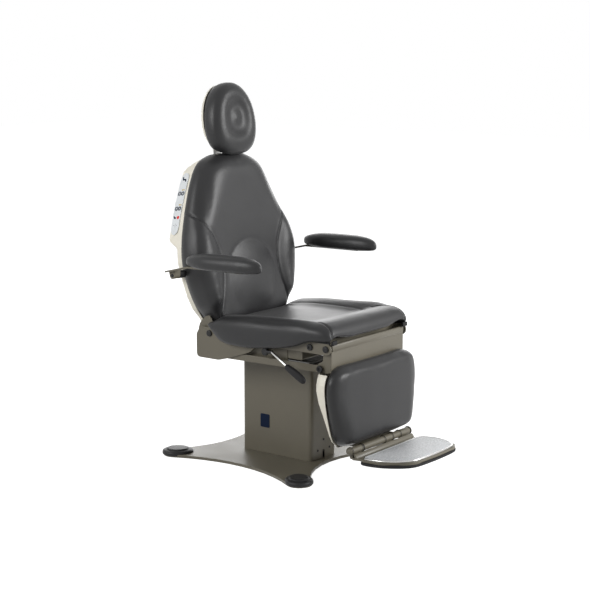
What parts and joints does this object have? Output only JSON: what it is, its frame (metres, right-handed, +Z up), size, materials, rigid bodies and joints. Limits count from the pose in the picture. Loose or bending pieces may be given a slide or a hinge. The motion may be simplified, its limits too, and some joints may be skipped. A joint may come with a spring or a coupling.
{
  "type": "examination chair",
  "caption": "Powered clinic examination chair: lifting column, swivelling seat, back and leg rest joined by links, lifting arm rests, sliding headrest and folding foot plate.",
  "frame": {"origin": "on the floor, under the column's swivel axis", "axes": "+Z up, the sitter faces -Y, the sitter's left is +X; back upright, lift at its lowest, seat facing forward"},
  "size_m": [0.7356, 0.9835, 1.2965],
  "materials": {
    "paint": "satin warm grey powder coat",
    "foot_cap": "moulded, matt",
    "bolt": "blackened",
    "steel": "ground",
    "guide": "moulded sliding guide",
    "drive": "moulded casing",
    "grip": "soft matt",
    "upholstery": "grained charcoal vinyl",
    "shell": "cream, satin moulded",
    "tread": "embossed",
    "membrane": "satin film",
    "button": "satin film"
  },
  "bodies": {
    "base": {"base_plate": "paint", "foot_cap_front_right": "foot_cap", "foot_cap_front_left": "foot_cap", "foot_cap_rear_right": "foot_cap", "foot_cap_rear_left": "foot_cap", "column_cover": "paint", "lift_guide": "guide", "lift_actuator": "drive"},
    "lift": {"lift_mast": "steel", "lift_rod": "steel", "swivel_bearing": "steel"},
    "seat": {"turntable": "paint", "seat_subframe": "paint", "seat_beam_front": "paint", "side_plate_right": "paint", "side_plate_left": "paint", "seat_pan": "paint", "seat_cushion": "upholstery", "back_pivot_bolt_right": "bolt", "back_pivot_bolt_left": "bolt", "leg_pivot_bolt_right": "bolt", "leg_pivot_bolt_left": "bolt", "recline_motor": "drive"},
    "lever": {"lever_rod": "steel", "lever_grip": "grip"},
    "drive_rod": {"recline_rod": "steel"},
    "back": {"back_panel": "paint", "back_crank_right": "paint", "back_crank_left": "paint", "back_cross_tube": "paint", "back_shell": "shell", "back_cushion": "upholstery", "control_strip": "membrane", "arm_bracket_right": "bolt", "arm_bracket_left": "bolt", "headrest_guide": "steel"},
    "link_right": {"link_bar_right": "paint"},
    "link_left": {"link_bar_left": "paint"},
    "leg": {"leg_panel": "paint", "leg_flange_right": "paint", "leg_flange_left": "paint", "leg_cushion": "upholstery", "leg_shell": "shell", "foot_hinge_leaf": "paint"},
    "foot": {"foot_pan": "paint", "foot_tread": "tread", "foot_bumper": "grip"},
    "arm_right": {"arm_bar_right": "paint", "arm_pad_right": "upholstery"},
    "arm_left": {"arm_bar_left": "paint", "arm_pad_left": "upholstery"},
    "headrest_slider": {"headrest_bar": "steel"},
    "headrest": {"headrest_bracket": "steel", "headrest_shell": "shell", "headrest_cushion": "upholstery"},
    "key_leg_down": {"button_leg_down": "button"},
    "key_leg_up": {"button_leg_up": "button"},
    "key_back_down": {"button_back_down": "button"},
    "key_back_up": {"button_back_up": "button"}
  },
  "joints": [
    {"name": "column_lift", "type": "slide", "parent": "base", "child": "lift", "axis": [0, 0, 1], "range_m": [0, 0.24]},
    {"name": "seat_swivel", "type": "hinge", "parent": "lift", "child": "seat", "pos_m": [0, 0, 0.37], "axis": [0, 0, 1], "range_deg": [-170, 170]},
    {"name": "back_recline", "type": "hinge", "parent": "seat", "child": "back", "pos_m": [0, 0.174, 0.447], "axis": [-1, 0, 0], "range_deg": [0, 80]},
    {"name": "leg_raise", "type": "hinge", "parent": "seat", "child": "leg", "pos_m": [0, -0.322, 0.453], "axis": [-1, 0, 0], "range_deg": [0, 80]},
    {"name": "link_right_turn", "type": "hinge", "parent": "back", "child": "link_right", "pos_m": [-0.2135, 0.202, 0.377], "axis": [-1, 0, 0], "range_deg": [-80, 0]},
    {"name": "link_left_turn", "type": "hinge", "parent": "back", "child": "link_left", "pos_m": [0.2135, 0.202, 0.377], "axis": [-1, 0, 0], "range_deg": [-80, 0]},
    {"name": "drive_stroke", "type": "slide", "parent": "seat", "child": "drive_rod", "axis": [0, 1, 0], "range_m": [-0.0905, 0]},
    {"name": "foot_fold", "type": "hinge", "parent": "leg", "child": "foot", "pos_m": [0, -0.386, 0.11], "axis": [-1, 0, 0], "range_deg": [0, 82]},
    {"name": "arm_right_lift", "type": "hinge", "parent": "back", "child": "arm_right", "pos_m": [-0.318, 0.24452, 0.6542], "axis": [-1, 0, 0], "range_deg": [0, 95]},
    {"name": "arm_left_lift", "type": "hinge", "parent": "back", "child": "arm_left", "pos_m": [0.318, 0.24452, 0.6542], "axis": [-1, 0, 0], "range_deg": [0, 95]},
    {"name": "headrest_raise", "type": "slide", "parent": "back", "child": "headrest_slider", "axis": [0, 0.1392, 0.9903], "range_m": [0, 0.1]},
    {"name": "headrest_tilt", "type": "hinge", "parent": "headrest_slider", "child": "headrest", "pos_m": [0, 0.334, 1.15361], "axis": [-1, 0, 0], "range_deg": [0, 30]},
    {"name": "lock_lever", "type": "hinge", "parent": "seat", "child": "lever", "pos_m": [-0.234, -0.08, 0.417], "axis": [-1, 0, 0], "range_deg": [0, 12]},
    {"name": "press_leg_down", "type": "slide", "parent": "back", "child": "key_leg_down", "axis": [0.8991, -0.0609, -0.4334], "range_m": [0, 0.0005], "stiffness_N_per_m": 800, "springref_m": -0.0005},
    {"name": "press_leg_up", "type": "slide", "parent": "back", "child": "key_leg_up", "axis": [0.8991, -0.0609, -0.4334], "range_m": [0, 0.0005], "stiffness_N_per_m": 800, "springref_m": -0.0005},
    {"name": "press_back_down", "type": "slide", "parent": "back", "child": "key_back_down", "axis": [0.8949, -0.0621, -0.4419], "range_m": [0, 0.0005], "stiffness_N_per_m": 800, "springref_m": -0.0005},
    {"name": "press_back_up", "type": "slide", "parent": "back", "child": "key_back_up", "axis": [0.8949, -0.0621, -0.4419], "range_m": [0, 0.0005], "stiffness_N_per_m": 800, "springref_m": -0.0005}
  ],
  "couplings": [
    {"joint": "leg_raise", "follows": "back_recline", "ratio": 1},
    {"joint": "link_right_turn", "follows": "back_recline", "ratio": -1},
    {"joint": "link_left_turn", "follows": "back_recline", "ratio": -1},
    {"joint": "drive_stroke", "follows": "back_recline", "m_per_rad": -0.06446}
  ]
}
